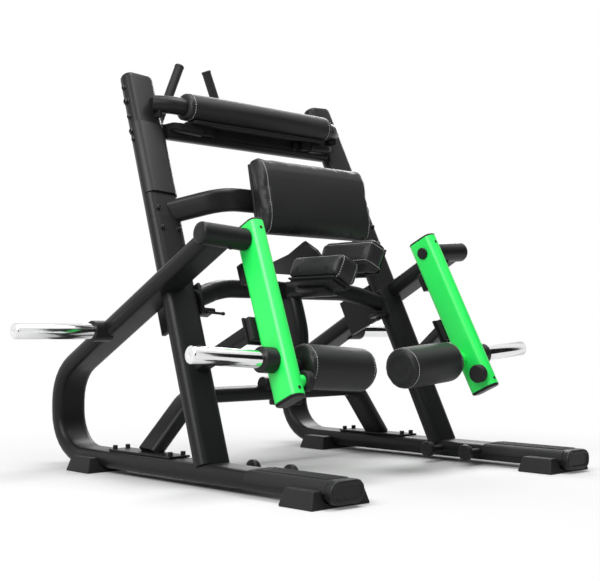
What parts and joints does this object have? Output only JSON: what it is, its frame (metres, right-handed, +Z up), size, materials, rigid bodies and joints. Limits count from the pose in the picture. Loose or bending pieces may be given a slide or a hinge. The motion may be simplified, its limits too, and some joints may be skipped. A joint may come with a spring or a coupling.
{
  "type": "plate-loaded kneeling leg curl machine",
  "caption": "Plate-loaded kneeling leg curl machine: tubular frame, independent swing arms with ankle rollers and weight horns, knee and hip pads, elbow roll and hand grips.",
  "frame": {"origin": "middle of the footprint on the floor", "axes": "+Z up; -Y is the open front with the swing arms and ankle rollers; the person kneels facing +Y; +X is the person's right"},
  "size_m": [1.78, 1.3555, 1.4399],
  "materials": {
    "frame_black": "satin powder coat",
    "arm_green": "gloss powder coat",
    "chrome": "polished",
    "leather_black": "grained synthetic leather",
    "rubber_black": "matt",
    "plastic_black": "satin",
    "board_black": "matt"
  },
  "bodies": {
    "frame": {"band_peg_front_left": "plastic_black", "band_peg_front_right": "plastic_black", "band_peg_rear_left": "plastic_black", "band_peg_rear_right": "plastic_black", "elbow_board": "board_black", "elbow_pad": "leather_black", "foot_front_left": "rubber_black", "foot_front_right": "rubber_black", "foot_rear_left": "rubber_black", "foot_rear_right": "rubber_black", "handle_grip_left": "rubber_black", "handle_grip_right": "rubber_black", "handle_left": "frame_black", "handle_right": "frame_black", "hip_board": "board_black", "hip_hoop": "frame_black", "hip_pad": "leather_black", "knee_board_left": "board_black", "knee_board_right": "board_black", "knee_carrier": "frame_black", "knee_pad_left": "leather_black", "knee_pad_right": "leather_black", "pivot_housing_left": "frame_black", "pivot_housing_right": "frame_black", "placard": "plastic_black", "post_left": "frame_black", "post_right": "frame_black", "rail_cap_left": "plastic_black", "rail_cap_right": "plastic_black", "rear_arch": "frame_black", "side_frame_left": "frame_black", "side_frame_right": "frame_black", "stop_rubber_left": "rubber_black", "stop_rubber_right": "rubber_black", "storage_horn_left": "chrome", "storage_horn_right": "chrome", "top_cross_frame": "frame_black", "tread_left": "rubber_black", "tread_right": "rubber_black", "upright_left": "frame_black", "upright_right": "frame_black"},
    "left_arm": {"arm_bumper_left": "rubber_black", "arm_cap_low_left": "plastic_black", "arm_cap_top_left": "plastic_black", "horn_collar_left": "plastic_black", "pivot_pin_left": "plastic_black", "roller_shaft_left": "plastic_black", "swing_arm_left": "arm_green", "weight_horn_left": "chrome"},
    "right_arm": {"arm_bumper_right": "rubber_black", "arm_cap_low_right": "plastic_black", "arm_cap_top_right": "plastic_black", "horn_collar_right": "plastic_black", "pivot_pin_right": "plastic_black", "roller_shaft_right": "plastic_black", "swing_arm_right": "arm_green", "weight_horn_right": "chrome"},
    "left_roller": {"ankle_roller_left": "leather_black"},
    "right_roller": {"ankle_roller_right": "leather_black"}
  },
  "joints": [
    {"name": "right_arm_swing", "type": "hinge", "parent": "frame", "child": "right_arm", "pos_m": [0.4007, -0.1616, 0.7187], "axis": [-0.9962, -0.0493, -0.0712], "range_deg": [0, 100]},
    {"name": "left_arm_swing", "type": "hinge", "parent": "frame", "child": "left_arm", "pos_m": [-0.4007, -0.1616, 0.7187], "axis": [-0.9962, 0.0493, 0.0712], "range_deg": [0, 100]},
    {"name": "right_roller_spin", "type": "hinge", "parent": "right_arm", "child": "right_roller", "pos_m": [0.21323, -0.3094, 0.34039], "axis": [-0.9962, -0.0493, -0.0712], "continuous": true},
    {"name": "left_roller_spin", "type": "hinge", "parent": "left_arm", "child": "left_roller", "pos_m": [-0.21323, -0.3094, 0.34039], "axis": [-0.9962, 0.0493, 0.0712], "continuous": true}
  ]
}
